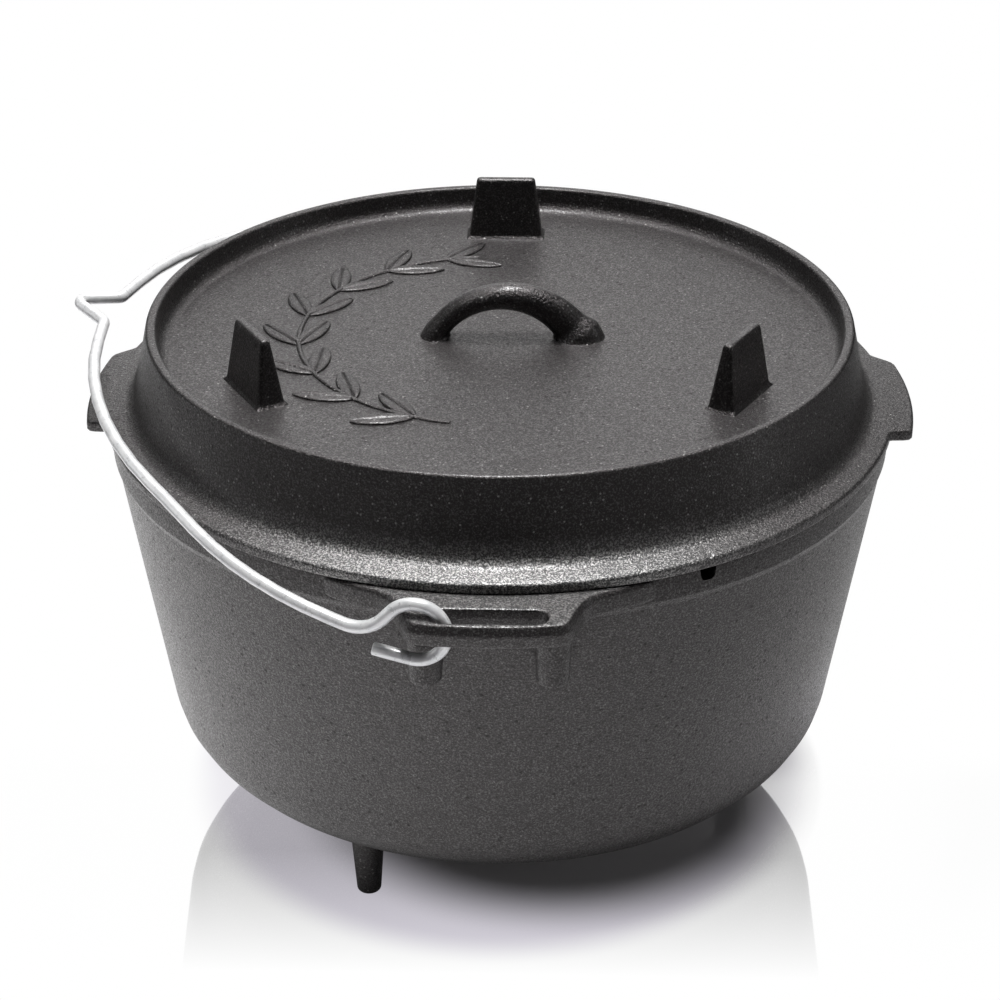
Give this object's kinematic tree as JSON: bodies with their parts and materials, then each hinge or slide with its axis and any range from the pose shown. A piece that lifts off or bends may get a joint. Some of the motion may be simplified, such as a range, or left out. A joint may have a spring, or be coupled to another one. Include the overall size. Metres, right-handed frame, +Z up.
{
  "type": "camp dutch oven",
  "caption": "Footed cast iron camp oven with a flanged lid that holds coals, slotted ears and a swinging wire bail.",
  "frame": {"origin": "on the pot's axis, at the floor that its feet stand on", "axes": "+Z up along the pot's axis; the slotted ears at -Y (front) and +Y (back); the lid's grips at -X (left) and +X (right)"},
  "size_m": [0.3306, 0.3504, 0.227],
  "materials": {
    "iron": "seasoned, pebbly satin black",
    "wire": "bright galvanised wire"
  },
  "bodies": {
    "pot": {"pot_bottom": "iron", "pot_corner": "iron", "pot_wall": "iron", "front_ear": "iron", "back_ear": "iron", "right_pot_foot": "iron", "back_pot_foot": "iron", "front_pot_foot": "iron"},
    "lid": {"lid_plate": "iron", "lid_skirt": "iron", "lid_flange": "iron", "lid_handle": "iron", "back_lid_foot": "iron", "left_lid_foot": "iron", "right_lid_foot": "iron", "left_grip": "iron", "right_grip": "iron", "lid_ornament": "iron"},
    "bail": {"bail": "wire"}
  },
  "joints": [
    {"name": "bail_swing", "type": "hinge", "parent": "pot", "child": "bail", "pos_m": [-0.0245, -0.1669, 0.1685], "axis": [0.1452, 0.9894, 0], "range_deg": [0, 156.6]},
    {"name": "lid_lift", "type": "slide", "parent": "pot", "child": "lid", "axis": [0.5736, 0, 0.8192], "range_m": [0, 0.15]}
  ]
}
